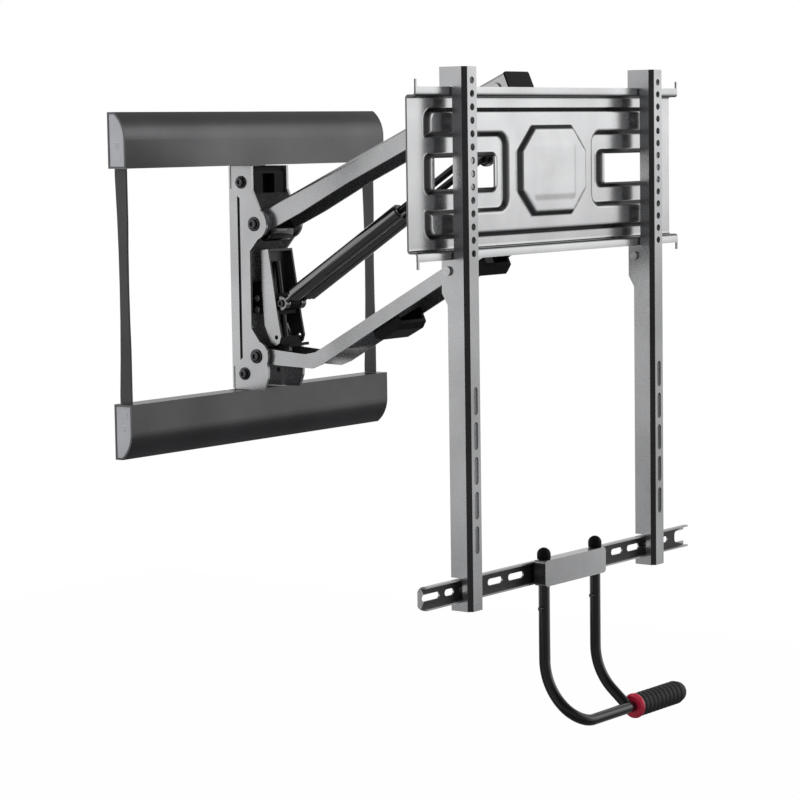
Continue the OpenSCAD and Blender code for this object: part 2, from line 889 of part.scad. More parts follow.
// Bracket on the plate's back, with two ears for the tilt pin
module tilt_bracket() {
    base_f = sheet_f - sheet_t - 3;
    color(steel) difference() {
        union() {
            both_sides(ear_plate_in, ear_plate_in + ear_plate_t) {
                translate([tilt_f, plate_z]) circle(r = 9.5);
                translate([tilt_f, plate_z - 24]) square([base_f - tilt_f + 1, 48]);
            }
            block(-44, 44, base_f, sheet_f - sheet_t, plate_z - 38, plate_z + 38);
        }
        rod_x(tilt_f, plate_z, tilt_r + run_gap, -30, 30);
    }
}

// Raised panel of the plate, set in by e: it leaves a channel round each window's frame
module panel_shape(e) {
    difference() {
        round_rect(2 * (panel_half - e), 2 * (panel_up - e), 14 - e);
        for (s = [-1, 1]) {
            translate([s * (95 - e + 100), 0]) round_rect(200, 2 * (ring_out + e), 12 + e);
        }
    }
    for (s = [-1, 1]) {
        translate([s * (107 + panel_half) / 2, 0])
            round_rect(panel_half - 107 - 2 * e, 2 * (ring_in - e), 9 - e);
    }
}

// Octagon in the middle of the plate, set in by e
module octagon_shape(e) {
    w = octagon_half_w - e;
    h = octagon_half_h - e;
    c = octagon_cut - e / 2;
    polygon([[-w, h - c], [c - w, h], [w - c, h], [w, h - c], [w, c - h], [w - c, -h], [c - w, -h],
        [-w, c - h]]);
}

module window_shapes() {
    for (s = [-1, 1]) {
        translate([s * window_mid, 0]) round_rect(window_w, window_h, 3);
    }
}

// Lip along the plate's top edge, with a taller ear at each end
module plate_lip() {
    z = plate_top;
    block(-plate_w / 2, plate_w / 2, sheet_f - sheet_t, lip_f, z - sheet_t, z);
    block(-plate_w / 2, plate_w / 2, lip_f - sheet_t, lip_f, z - sheet_t, z + lip_h);
    for (s = [-1, 1]) {
        block(s * plate_w / 2 - (s + 1) / 2 * 3, s * plate_w / 2 - (s - 1) / 2 * 3,
            lip_f - sheet_t, lip_f, z, z + lip_h + 9);
    }
}

module vesa_plate() {
    back = sheet_f - sheet_t;
    color(steel) difference() {
        union() {
            block(-plate_w / 2, plate_w / 2, back, sheet_f, plate_low, plate_top);
            translate([0, 0, plate_z]) {
                front(back, sheet_f + stamp_d) panel_shape(0);
                front(back, sheet_f + 2 * stamp_d) octagon_shape(0);
            }
            plate_lip();
            translate([0, 0, 2 * plate_z]) mirror([0, 0, 1]) plate_lip();
        }
        translate([0, 0, plate_z]) {
            front(back - cut, sheet_f + stamp_d - sheet_t) panel_shape(sheet_t);
            front(back - cut, sheet_f + 2 * stamp_d - sheet_t) octagon_shape(sheet_t);
            front(back - cut, sheet_f + stamp_d + cut) window_shapes();
        }
    }
    // Pads that carry the tilt bracket inside the hollow of the octagon
    color(steel) for (s = [-1, 1]) {
        block(s * 39 - 5, s * 39 + 5, back, sheet_f + 2 * stamp_d - sheet_t / 2,
            plate_z - 30, plate_z + 30);
    }
}

// Side outline of a rail's flanges: hooks for the plate's lips and a notch for the crossbar
module rail_profile() {
    difference() {
        polygon([[rail_front - rail_shallow, rail_low], [rail_front, rail_low],
            [rail_front, rail_high], [rail_front - rail_deep, rail_high],
            [rail_front - rail_deep, plate_top + 4], [sheet_f + 1, plate_top + side_gap],
            [lip_f - sheet_t - side_gap, plate_top + side_gap],
            [lip_f - sheet_t - side_gap, plate_top + lip_h + side_gap],
            [lip_f + 2, plate_top + lip_h + side_gap], [lip_f + 2, plate_low - lip_h - side_gap],
            [lip_f - sheet_t - side_gap, plate_low - lip_h - side_gap],
            [lip_f - sheet_t - side_gap, plate_low - side_gap],
            [sheet_f + 1, plate_low - side_gap], [rail_front - rail_deep, plate_low - 4],
            [rail_front - rail_deep, plate_low - 48], [rail_front - rail_shallow, plate_low - 62]]);
        translate([bar_f - 20, bar_z - bar_h / 2 - side_gap])
            square([20 + bar_d + side_gap, bar_h + 2 * side_gap]);
        translate([sheet_f + 6, safety_z]) circle(r = 3 + run_gap);
    }
}

module tv_rail(x) {
    color(steel) difference() {
        intersection() {
            translate([x, -rail_front, rail_low]) linear_extrude(rail_len) mirror([0, 1, 0])
                channel_section(rail_w / 2, -rail_deep - 5, 0, sheet_t, rail_bend);
            side(x - rail_w, x + rail_w) rail_profile();
        }
        for (i = [0 : hole_count - 1]) {
            rod_f(x, hole_top - i * hole_pitch, hole_r, rail_front - 6, rail_front + cut);
        }
        for (i = [0 : slot_count - 1]) {
            translate([x, 0, slot_first - i * slot_pitch]) front(rail_front - 6, rail_front + cut)
                rotate(90) stadium(slot_len, hole_r);
        }
    }
}

module tv_rail_left() {
    tv_rail(-rail_gap / 2);
}

module tv_rail_right() {
    tv_rail(rail_gap / 2);
}

// Screws that lock each rail under the plate's lower lip
module rail_safety_screws() {
    color(zinc) for (s = [-1, 1]) {
        rod_x(sheet_f + 6, safety_z, 3, s * rail_gap / 2 - rail_w / 2 - 1, s * rail_gap / 2 + rail_w / 2 + 3);
        rod_x(sheet_f + 6, safety_z, 5.5, s * rail_gap / 2 - rail_w / 2 - 3.5,
            s * rail_gap / 2 - rail_w / 2);
    }
}

// Cross-section of the crossbar: a shallow channel that opens forward
module bar_section() {
    r = 3.5;
    difference() {
        union() {
            translate([0, -bar_h / 2 + r]) square([bar_d, bar_h - 2 * r]);
            translate([r, -bar_h / 2]) square([bar_d - r, bar_h]);
            for (s = [-1, 1]) {
                translate([r, s * (bar_h / 2 - r)]) circle(r = r);
            }
        }
        translate([2, 2 - bar_h / 2]) square([bar_d, bar_h - 4]);
    }
}

module crossbar() {
    slots = [[-266, 34], [-230, 18], [-200, 20], [-138, 30], [-95, 32], [0, 60], [128, 26], [166, 28],
        [200, 20], [244, 12]];
    color(steel) difference() {
        side(-bar_half, bar_half) translate([bar_f, bar_z]) bar_section();
        for (p = slots) {
            translate([p[0], 0, bar_z]) front(bar_f - cut, bar_f + 3) stadium(p[1], 4);
        }
        translate([bar_half, 0, bar_z]) front(bar_f - cut, bar_f + 3) round_rect(44, 15, 5);
        for (s = [-1, 1], m = [-1, 1]) {
            translate([-bar_half, -bar_f, bar_z + m * bar_h / 2]) rotate([0, 45, 0])
                cube([8, 3 * bar_d, 8], center = true);
        }
    }
}

// Bolts that hold the crossbar to the rails from behind
module crossbar_bolts() {
    color(zinc) for (s = [-1, 1]) {
        rod_f(s * rail_gap / 2, bar_z, 3.5, bar_f - 2, rail_front - sheet_t);
        rod_f(s * rail_gap / 2, bar_z, 7, bar_f - 5, bar_f);
    }
}

// Box-shaped bracket that guides the handle tubes in front of the crossbar
module clamp_bracket() {
    f0 = bar_f + bar_d;
    z0 = bar_z - bracket_h / 2;
    color(steel) difference() {
        union() {
            difference() {
                front(f0, bracket_f) translate([0, bar_z]) round_rect(2 * bracket_half, bracket_h, 5);
                block(2 - bracket_half, bracket_half - 2, f0 - cut, bracket_f - 2, z0 + 2,
                    z0 + bracket_h - 2);
            }
            for (s = [-1, 1]) {
                rod_f(s * 20, bar_z, 6, bar_f + 2, bracket_f - 1);
            }
        }
        for (s = [-1, 1]) {
            translate([s * tube_x, -tube_f, z0 - cut]) cylinder(r = tube_r + side_gap, h = bracket_h + 2);
            block(s * tube_x - tube_r - side_gap, s * tube_x + tube_r + side_gap, f0 - cut, tube_f,
                z0 - cut, z0 + bracket_h + cut);
            rod_f(s * 20, bar_z, 2.5 + run_gap, bar_f, bracket_f - 3);
        }
    }
}

module clamp_screws() {
    color(zinc) for (s = [-1, 1]) {
        rod_f(s * 20, bar_z, 2.5, bar_f - 2, bracket_f - 4);
        rod_f(s * 20, bar_z, 5.5, bar_f - 4, bar_f);
    }
}

// Point at distance s along a leg's leaning run, counted from its corner
function lean_point(x, s) = [x, -tube_f - s * sin(handle_lean), corner_z - s * cos(handle_lean)];

// A tube bend of radius r about its own Z axis, from the X axis through an angle. It is a
// little thicker than the straight tubes, which run into it
module bend(r, angle) {
    rotate_extrude(angle = angle) translate([r, 0]) circle(r = tube_r + 0.3);
}

// Handle leg: a straight tube, the bend that leads it forward and a leaning run
module handle_leg(x, run) {
    translate([x, -tube_f, corner_z + first_cut - 2])
        cylinder(r = tube_r, h = tube_top - corner_z - first_cut + 2);
    translate([x, -tube_f - bend_r, corner_z + first_cut]) rotate([-90, 0, 90])
        bend(bend_r, handle_lean);
    translate(lean_point(x, first_cut - 2)) rotate([180 - handle_lean, 0, 0])
        cylinder(r = tube_r - 0.3, h = run - first_cut + 4);
}

module handle_frame() {
    color(dark) {
        handle_leg(-tube_x, lean_run - side_r);
        translate(lean_point(side_r - tube_x, lean_run - side_r)) rotate([90 - handle_lean, 0, 0])
            rotate([0, 0, 180]) bend(side_r, 90);
        rod_x(grip_f, grip_z, tube_r, side_r - tube_x - 2, plug_x - 1);
        handle_leg(tube_x, lean_run - 1);
    }
}

module handle_ball_caps() {
    seat = bar_z + bracket_h / 2 + side_gap;
    color(dark) for (s = [-1, 1]) {
        translate([s * tube_x, -tube_f, seat]) difference() {
            translate([0, 0, 6]) sphere(r = cap_r);
            translate([0, 0, -cap_r]) cylinder(r = 2 * cap_r, h = cap_r);
            translate([0, 0, -cut]) cylinder(r = tube_r + run_gap, h = tube_top - seat + cut);
        }
    }
}

module handle_stop_studs() {
    color(zinc) for (s = [-1, 1]) {
        translate([s * tube_x, -tube_f, bar_z - bracket_h / 2 - stud_drop]) difference() {
            rod_x(0, 0, 3, -tube_r - 2.5, -tube_r + 2);
            cylinder(r = tube_r + run_gap, h = 10, center = true);
        }
    }
}

module grip_ring() {
    color(ring_red) translate([ring_x + ring_w / 2, -grip_f, grip_z]) rotate([0, 90, 0]) difference() {
        rotate_extrude() {
            translate([tube_r + run_gap, -ring_w / 2]) square([grip_r - tube_r - 3, ring_w]);
            translate([grip_r - 3, 0]) circle(r = ring_w / 2);
        }
        cylinder(r = tube_r + run_gap, h = 20, center = true);
    }
}

module handle_grip() {
    pitch = grip_len / grip_ribs;
    color(dark) translate([grip_x, -grip_f, grip_z]) rotate([0, 90, 0]) difference() {
        union() {
            cylinder(r = grip_r - 1.5, h = grip_len);
            for (i = [0 : grip_ribs - 1]) {
                translate([0, 0, i * pitch + pitch / 6]) cylinder(r = grip_r, h = pitch * 2 / 3);
            }
        }
        translate([0, 0, -cut]) cylinder(r = tube_r + run_gap, h = grip_len + 2 * cut);
    }
}

module grip_end_plug() {
    color(dark) translate([plug_x, -grip_f, grip_z]) rotate([0, 90, 0]) {
        cylinder(r = grip_r - 1, h = 2);
        cylinder(r = grip_r - 3.5, h = 5);
    }
}

wall_rail_upper();
wall_rail_lower();
column();
column_bolts();
cheek_left();
cheek_right();
cheek_bolts();
stop_block();
cover_upper();
cover_lower();
cover_cap_upper_left();
cover_cap_upper_right();
cover_cap_lower_left();
cover_cap_lower_right();
side_strip_left();
side_strip_right();
tension_bracket();
tension_channel();
channel_screws();
tension_screw();
spring_carriage();
spring_lower_pin();
screw_block();
upper_pivot_pin();
lower_pivot_pin();
upper_pivot_spacers();
lower_pivot_spacers();
upper_arm();
upper_arm_hub();
upper_arm_end_cap();
lower_arm();
lower_arm_hub();
cable_clip_rear();
cable_clip_front();
spring_cylinder_left();
spring_cylinder_right();
spring_rod_left();
spring_rod_right();
spring_cross_pin();
head_link();
front_upper_pin();
front_lower_pin();
swivel_pin();
swivel_block();
tilt_pin();
tilt_bracket();
vesa_plate();
tv_rail_left();
tv_rail_right();
rail_safety_screws();
crossbar();
crossbar_bolts();
clamp_bracket();
clamp_screws();
handle_frame();
handle_ball_caps();
handle_stop_studs();
grip_ring();
handle_grip();
grip_end_plug();
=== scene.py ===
"""Looks for the pull-down television mount: materials, detailed pieces, light and camera."""
import json
import math

import bmesh
import bpy
from mathutils import Matrix, Vector


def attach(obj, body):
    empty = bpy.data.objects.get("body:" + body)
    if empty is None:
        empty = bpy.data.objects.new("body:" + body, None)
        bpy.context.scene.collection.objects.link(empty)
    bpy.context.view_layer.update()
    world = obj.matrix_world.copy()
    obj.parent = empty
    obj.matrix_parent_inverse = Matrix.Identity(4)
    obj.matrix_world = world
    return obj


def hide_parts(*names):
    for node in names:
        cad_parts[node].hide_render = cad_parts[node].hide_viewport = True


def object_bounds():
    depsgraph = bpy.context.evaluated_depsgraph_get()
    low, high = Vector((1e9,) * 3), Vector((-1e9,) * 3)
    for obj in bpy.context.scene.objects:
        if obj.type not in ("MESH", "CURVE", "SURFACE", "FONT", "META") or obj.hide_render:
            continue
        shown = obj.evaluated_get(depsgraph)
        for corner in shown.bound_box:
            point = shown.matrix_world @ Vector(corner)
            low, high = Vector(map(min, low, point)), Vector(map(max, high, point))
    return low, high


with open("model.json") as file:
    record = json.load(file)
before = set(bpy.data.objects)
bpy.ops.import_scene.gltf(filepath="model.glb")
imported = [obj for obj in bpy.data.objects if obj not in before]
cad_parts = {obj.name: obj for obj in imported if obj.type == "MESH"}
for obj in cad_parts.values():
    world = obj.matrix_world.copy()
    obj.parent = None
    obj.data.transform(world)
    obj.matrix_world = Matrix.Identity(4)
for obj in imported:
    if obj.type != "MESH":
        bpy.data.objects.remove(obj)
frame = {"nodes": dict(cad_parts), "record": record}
cad_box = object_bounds()
nodes = frame["nodes"]
scene = bpy.context.scene

# Node helpers. Most of a noise lies between these two values
NOISE_LOW, NOISE_HIGH = 0.3, 0.7
WORN_EDGE = 0.0009


def rgba(colour):
    """A colour with full opacity."""
    return (*colour, 1)


def shade(colour, amount):
    """A colour made darker or lighter by a factor."""
    return tuple(c * amount for c in colour)


def feed(tree, socket, value):
    """Links an output to a socket, or sets the socket to a plain value."""
    if isinstance(value, bpy.types.NodeSocket):
        tree.links.new(value, socket)
    else:
        socket.default_value = value


def new_material(name):
    """A node material, its node tree and its shader."""
    m = bpy.data.materials.new(name)
    m.use_nodes = True
    tree = m.node_tree
    tree.nodes.clear()
    out = tree.nodes.new("ShaderNodeOutputMaterial")
    shader = tree.nodes.new("ShaderNodeBsdfPrincipled")
    tree.links.new(shader.outputs[0], out.inputs[0])
    return m, tree, shader


def coords(tree):
    """Object coordinates in metres."""
    return tree.nodes.new("ShaderNodeTexCoord").outputs["Object"]


def noise(tree, vector, scale, detail=2.0, rough=0.5):
    """Noise with a scale in grains a metre."""
    n = tree.nodes.new("ShaderNodeTexNoise")
    n.inputs["Scale"].default_value = scale
    n.inputs["Detail"].default_value = detail
    n.inputs["Roughness"].default_value = rough
    tree.links.new(vector, n.inputs["Vector"])
    return n.outputs["Fac"]


def ramp(tree, fac, low, high, a, b):
    """Maps fac from low..high to a..b."""
    r = tree.nodes.new("ShaderNodeMapRange")
    r.inputs["From Min"].default_value = low
    r.inputs["From Max"].default_value = high
    r.inputs["To Min"].default_value = a
    r.inputs["To Max"].default_value = b
    tree.links.new(fac, r.inputs["Value"])
    return r.outputs["Result"]


def maths(tree, operation, *values):
    """A math node of outputs and plain numbers."""
    n = tree.nodes.new("ShaderNodeMath")
    n.operation = operation
    for socket, value in zip(n.inputs, values):
        feed(tree, socket, value)
    return n.outputs[0]


def mix_colour(tree, fac, a, b):
    """Mixes two colours, each given as four numbers or as an output."""
    m = tree.nodes.new("ShaderNodeMix")
    m.data_type = "RGBA"
    tree.links.new(fac, m.inputs["Factor"])
    feed(tree, m.inputs["A"], a)
    feed(tree, m.inputs["B"], b)
    return m.outputs["Result"]


def mix_shader(tree, fac, a, b):
    """Mixes two shaders."""
    m = tree.nodes.new("ShaderNodeMixShader")
    for socket, output in zip(m.inputs, (fac, a, b)):
        tree.links.new(output, socket)
    return m.outputs[0]


def vary_roughness(tree, shader, fac, low, high):
    """Lets the roughness follow a noise between two values."""
    rough = ramp(tree, fac, NOISE_LOW, NOISE_HIGH, low, high)
    tree.links.new(rough, shader.inputs["Roughness"])


def bump(tree, shader, height, strength, distance):
    """Gives a shader a bump of a distance in metres."""
    b = tree.nodes.new("ShaderNodeBump")
    b.inputs["Strength"].default_value = strength
    b.inputs["Distance"].default_value = distance
    tree.links.new(height, b.inputs["Height"])
    tree.links.new(b.outputs[0], shader.inputs["Normal"])


def edge_wear(tree):
    """Rises along sharp edges, where a bevelled normal leaves the true one."""
    bevel = tree.nodes.new("ShaderNodeBevel")
    bevel.samples = 4
    bevel.inputs["Radius"].default_value = WORN_EDGE
    geo = tree.nodes.new("ShaderNodeNewGeometry")
    dot = tree.nodes.new("ShaderNodeVectorMath")
    dot.operation = "DOT_PRODUCT"
    tree.links.new(bevel.outputs[0], dot.inputs[0])
    tree.links.new(geo.outputs["Normal"], dot.inputs[1])
    return ramp(tree, dot.outputs["Value"], 0.99, 0.85, 0.0, 1.0)


def painted_slope_shade(tree, base, dark):
    """Painted shade: darkens the paint wherever a face turns away from the flat front, on slopes
    and folds alike.
    """
    place = tree.nodes.new("ShaderNodeTexCoord")
    parts = tree.nodes.new("ShaderNodeSeparateXYZ")
    tree.links.new(place.outputs["Normal"], parts.inputs[0])
    flat = maths(tree, "ABSOLUTE", parts.outputs["Y"])
    return mix_colour(tree, ramp(tree, flat, 0.72, 0.96, 0.0, 1.0), rgba(dark), base)


def powder_coat(name, colour, rough, metal, grain=0.06, wear=0.25, slope_shade=1.0):
    """Satin powder coat with a fine orange-peel grain, faint clouding and lighter edges. Where
    the last factor is below 1, faces turned away from the front are painted that much darker, as
    painted shade."""
    m, tree, s = new_material(name)
    v = coords(tree)
    cloud = ramp(tree, noise(tree, v, 9.0, 3.0), NOISE_LOW, NOISE_HIGH, 0, 1)
    light = tuple(c * 1.16 + 0.004 for c in colour)
    base = mix_colour(tree, cloud, rgba(shade(colour, 0.9)), rgba(light))
    if slope_shade < 1:
        base = painted_slope_shade(tree, base, shade(colour, slope_shade))
    worn = tuple(min(1, c * 1.9 + 0.06) for c in colour)
    amount = maths(tree, "MULTIPLY", edge_wear(tree), wear)
    tree.links.new(mix_colour(tree, amount, base, rgba(worn)), s.inputs["Base Color"])
    s.inputs["Metallic"].default_value = metal
    fine = noise(tree, v, 900.0)
    vary_roughness(tree, s, fine, rough - 0.04, rough + 0.05)
    bump(tree, s, fine, grain, 0.0002)
    return m


def brushed_zinc(name, colour, rough=0.3):
    """Zinc-plated steel with fine turning marks."""
    m, tree, s = new_material(name)
    marks = noise(tree, coords(tree), 240.0, 3.0)
    base = mix_colour(tree, marks, rgba(shade(colour, 0.8)), rgba(colour))
    tree.links.new(base, s.inputs["Base Color"])
    s.inputs["Metallic"].default_value = 1.0
    vary_roughness(tree, s, marks, rough - 0.08, rough + 0.1)
    bump(tree, s, marks, 0.08, 0.0001)
    return m


def moulded(name, colour, rough, grain_scale=1400.0, grain=0.2, coat=0.0, specular=0.5):
    """Moulded plastic or foam: fine leather-like grain with a slight colour change."""
    m, tree, s = new_material(name)
    v = coords(tree)
    fine = noise(tree, v, grain_scale, 3.0, 0.6)
    broad = ramp(tree, noise(tree, v, 14.0), NOISE_LOW, NOISE_HIGH, 0, 1)
    base = mix_colour(tree, broad, rgba(shade(colour, 0.88)), rgba(shade(colour, 1.12)))
    tree.links.new(base, s.inputs["Base Color"])
    vary_roughness(tree, s, fine, rough - 0.05, rough + 0.06)
    s.inputs["Coat Weight"].default_value = coat
    s.inputs["Coat Roughness"].default_value = 0.1
    s.inputs["Specular IOR Level"].default_value = specular
    bump(tree, s, fine, grain, 0.0002)
    return m


def enamel(name, colour, coat_ior=1.45):
    """Gloss black enamel with very faint orange peel."""
    m, tree, s = new_material(name)
    peel = noise(tree, coords(tree), 160.0)
    base = mix_colour(tree, peel, rgba(shade(colour, 0.85)), rgba(colour))
    tree.links.new(base, s.inputs["Base Color"])
    vary_roughness(tree, s, peel, 0.07, 0.15)
    s.inputs["Specular IOR Level"].default_value = 0.2
    s.inputs["Coat Weight"].default_value = 1.0
    s.inputs["Coat Roughness"].default_value = 0.08
    s.inputs["Coat IOR"].default_value = coat_ior
    bump(tree, s, peel, 0.05, 0.0002)
    return m


steel = powder_coat("steel_paint", (0.4, 0.402, 0.407), rough=0.24, metal=0.85)
# The plate's slopes and folds get painted shade at 0.22 of its colour
plate_paint = powder_coat("plate_paint", (0.46, 0.462, 0.467), rough=0.2, metal=0.9, slope_shade=0.22)
# Black for painted shade and painted dark reflection on insides, ends and cut faces
painted_shade_black = powder_coat("painted_shade_black", (0.035, 0.035, 0.037), rough=0.4, metal=0.3)
zinc = brushed_zinc("zinc", (0.5, 0.5, 0.51))
black_bolt = brushed_zinc("black_bolt", (0.09, 0.09, 0.095), rough=0.35)
cover_plastic = powder_coat("cover_plastic", (0.1, 0.1, 0.103), rough=0.31, metal=0.96,
                            grain=0.14, wear=0.0)
strip_plastic = powder_coat("strip_plastic", (0.06, 0.06, 0.062), rough=0.36, metal=0.8,
                            grain=0.14, wear=0.0)
cap_plastic = moulded("cap_plastic", (0.82, 0.82, 0.83), 0.4)
black_plastic = moulded("black_plastic", (0.006, 0.006, 0.0065), 0.42, specular=0.1)
spring_enamel = enamel("spring_enamel", (0.004, 0.004, 0.0045), coat_ior=2.3)
handle_enamel = enamel("handle_enamel", (0.003, 0.003, 0.0035))
ring_red = moulded("ring_red", (0.8, 0.02, 0.07), 0.24, grain_scale=500.0, grain=0.06,
                   coat=0.6)
foam = moulded("grip_foam", (0.02, 0.02, 0.021), 0.6, grain_scale=700.0, grain=0.5)
chrome = brushed_zinc("rod_chrome", (0.035, 0.035, 0.038), rough=0.16)

by_slot = {"frame_steel": steel, "plate_steel": plate_paint, "bolt_zinc": zinc,
           "cover_plastic": cover_plastic, "cap_plastic": cap_plastic,
           "black_plastic": black_plastic, "spring_black": spring_enamel, "rod_chrome": chrome,
           "handle_gloss": handle_enamel, "ring_red": ring_red, "grip_foam": foam}
slot_of = {s["node"]: s["material_slot"] for s in frame["record"]["subparts"]}
own_look = {"tension_screw": black_bolt, "handle_stop_studs": black_bolt,
            "side_strip_left": strip_plastic, "side_strip_right": strip_plastic,
            "upper_pivot_spacers": cap_plastic, "lower_pivot_spacers": cap_plastic}

# Every CAD node gets its slot's material, apart from those with a look of their own
for name in nodes:
    slots = nodes[name].data.materials
    slots.clear()
    slots.append(own_look.get(name, by_slot[slot_of[name]]))


# Sizes in millimetres that the detailed pieces share with the solids, with F forward of the
# wall: a point (x, f, z) lies at (x, -f, z)
PIVOT_F, PIVOT_UP, PIVOT_LOW, PIN_R = 46.0, 72.0, -103.0, 7.0
CHEEK_IN, CHEEK_OUT = 34.0, 38.0
FIX_F, FIX_Z = 25.0, 127.0
SPRING_F, SPRING_Z, SPRING_X = 75.88, -33.05, 16.0
CHANNEL_SIDE, SCREW_F, SCREW_Z, SCREW_PITCH = 24.8, 39.0, -27.0, 15.0
COVER_D, COVER_H, COVER_R, COVER_KNEE, COVER_FOOT = 30.0, 71.0, 43.0, 35.0, 149.0
SHEET_F, PLATE_Z, PLATE_W, PLATE_H = 489.965, 140.975, 560.0, 182.0
TUBE_X, TUBE_R, TUBE_F, TUBE_TOP = 56.0, 7.0, 518.265, -327.025
GRIP_F, GRIP_Z, GRIP_X, GRIP_LEN, GRIP_R = 567.765, -529.025, 72.0, 104.0, 15.0
BAR_F, BAR_END, RAIL_X, RAIL_HALF, RAIL_FRONT = 501.965, 280.0, 200.0, 14.0, 523.465
LEAN = math.radians(50)
ARM_TILT = math.radians(23.5)
QUARTER = math.pi / 2


def mm(x, f, z):
    """A point of the solids' frame in metres."""
    return Vector((x, -f, z)) / 1000


def steps_to(angle, count):
    """Equal steps up to an angle, without the start."""
    return [angle * k / count for k in range(1, count + 1)]


def finish_mesh(name, bm, material, body, *replaced, slot=None, sharp=38):
    """Turns a bmesh into a piece with smooth faces and sharp creases, and has it ride."""
    bmesh.ops.remove_doubles(bm, verts=bm.verts, dist=1e-6)
    bmesh.ops.recalc_face_normals(bm, faces=bm.faces)
    mesh = bpy.data.meshes.new(name)
    bm.to_mesh(mesh)
    bm.free()
    mesh.polygons.foreach_set("use_smooth", [True] * len(mesh.polygons))
    mesh.set_sharp_from_angle(angle=math.radians(sharp))
    o = bpy.data.objects.new(name, mesh)
    scene.collection.objects.link(o)
    mesh.materials.append(material)
    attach(o, body)
    if replaced:
        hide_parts(*replaced)
    return o


def bridge(bm, rings, closed=False):
    """Joins each ring of vertices to the next, and closes both ends, or the last ring to the
    first where closed."""
    for a, b in zip(rings, rings[1:] + rings[:1] if closed else rings[1:]):
        for i in range(len(a)):
            j = (i + 1) % len(a)
            bm.faces.new((a[i], a[j], b[j], b[i]))
    if not closed:
        bm.faces.new(list(reversed(rings[0])))
        bm.faces.new(rings[-1])


def lathe(bm, origin, axis, profile, steps, sockets=0):
    """Turns a profile of (distance, radius) about an axis. Its last two rings are six-sided
    with 1 socket, and its first two as well with 2."""
    axis = Vector(axis).normalized()
    across = axis.orthogonal().normalized()
    other = axis.cross(across)
    n = len(profile)
    six_sided = ((), (n - 2, n - 1), (0, 1, n - 2, n - 1))[sockets]
    rings = []
    for k, (d, radius) in enumerate(profile):
        ring = []
        for i in range(steps):
            a = 2 * math.pi * i / steps
            r = radius
            if k in six_sided:
                r = radius * math.cos(math.pi / 6) / math.cos(a % (math.pi / 3) - math.pi / 6)
            outward = (across * math.cos(a) + other * math.sin(a)) * r
            ring.append(bm.verts.new(origin + (axis * d + outward) / 1000))
        rings.append(ring)
    bridge(bm, rings)


def head_profile(start, washer_r, washer_t, head_r, head_h, socket):
    """Profile of a washer and a socket head that stand outward from start, with chamfers."""
    socket_depth = 2.2
    end = start + washer_t + head_h
    return [(start, washer_r - 0.2), (start + 0.25, washer_r), (start + washer_t - 0.3, washer_r),
            (start + washer_t, washer_r - 0.4), (start + washer_t, head_r), (end - 0.7, head_r),
            (end - 0.15, head_r - 0.45), (end, head_r - 0.9), (end, socket),
            (end - socket_depth, socket)]


def two_ended(profile):
    """A profile given outward from the middle, mirrored to run from end to end."""
    left = [(-d, r) for d, r in reversed(profile)]
    return left + profile


def sweep(bm, points, radius, steps):
    """Closed round tube along points, in metres, without twist."""
    normal = None
    rings = []
    for i, p in enumerate(points):
        ahead = points[min(i + 1, len(points) - 1)]
        behind = points[max(i - 1, 0)]
        t = (ahead - behind).normalized()
        if normal is None:
            normal = t.orthogonal().normalized()
        else:
            normal = (normal - t * normal.dot(t)).normalized()
        other = t.cross(normal)
        turns = [2 * math.pi * k / steps for k in range(steps)]
        rings.append([bm.verts.new(p + (normal * math.cos(a) + other * math.sin(a)) * radius)
                      for a in turns])
    bridge(bm, rings)


def box_outline(f0, f1, z0, z1):
    """Four corners of a box in its first two directions."""
    return [(f0, z0), (f1, z0), (f1, z1), (f0, z1)]


def level_ends(outline, x0, x1):
    """An outline of (f, z) points at two X places."""
    return [[mm(x, f, z) for f, z in outline] for x in (x0, x1)]


def upright_ends(outline, z0, z1):
    """An outline of (x, f) points at two heights."""
    return [[mm(x, f, z) for x, f in outline] for z in (z0, z1)]


def prism(bm, ends):
    """Closed prism between two ends."""
    bridge(bm, [[bm.verts.new(p) for p in end] for end in ends])


# Handle: one bent tube from the left ball down, forward and across into the grip, and a second
# leg that meets it beside the ring in a weld
BEND_R, SIDE_R = 70.0, 31.0
CORNER_Z = GRIP_Z + (GRIP_F - TUBE_F) / math.tan(LEAN)
BEND_TOP = CORNER_Z + BEND_R * math.tan(LEAN / 2)
LEAN_RUN = (GRIP_F - TUBE_F) / math.sin(LEAN)
TUBE_STEPS, WELD_BACK = 28, 6.2


def leg_points(x, run):
    """Centre line of a leg from its top to a distance run along its leaning part."""
    pts = [mm(x, TUBE_F, z) for z in (TUBE_TOP, (TUBE_TOP + CORNER_Z) / 2, BEND_TOP)]
    for a in steps_to(LEAN, 12):
        pts.append(mm(x, TUBE_F + BEND_R * (1 - math.cos(a)), BEND_TOP - BEND_R * math.sin(a)))
    pts.append(mm(x, TUBE_F + run * math.sin(LEAN), CORNER_Z - run * math.cos(LEAN)))
    return pts


left_leg = leg_points(-TUBE_X, LEAN_RUN - SIDE_R)
across = Vector((1, 0, 0))
down = Vector((0, -math.sin(LEAN), -math.cos(LEAN)))
turn = left_leg[-1] + across * SIDE_R / 1000
for a in steps_to(QUARTER, 16):
    left_leg.append(turn + (down * math.sin(a) - across * math.cos(a)) * SIDE_R / 1000)
left_leg += [mm(30, GRIP_F, GRIP_Z), mm(GRIP_X + GRIP_LEN - 1, GRIP_F, GRIP_Z)]
tube = bmesh.new()
sweep(tube, left_leg, TUBE_R / 1000, TUBE_STEPS)
sweep(tube, leg_points(TUBE_X, LEAN_RUN - 1), (TUBE_R - 0.2) / 1000, TUBE_STEPS)
weld = mm(TUBE_X, GRIP_F - WELD_BACK * math.sin(LEAN), GRIP_Z + WELD_BACK * math.cos(LEAN))
lathe(tube, weld, down, [(-1.4, 6.9), (-0.8, 7.5), (0.8, 7.5), (1.4, 6.9)], TUBE_STEPS)
finish_mesh("handle_tube", tube, handle_enamel, "handle", "handle_frame")

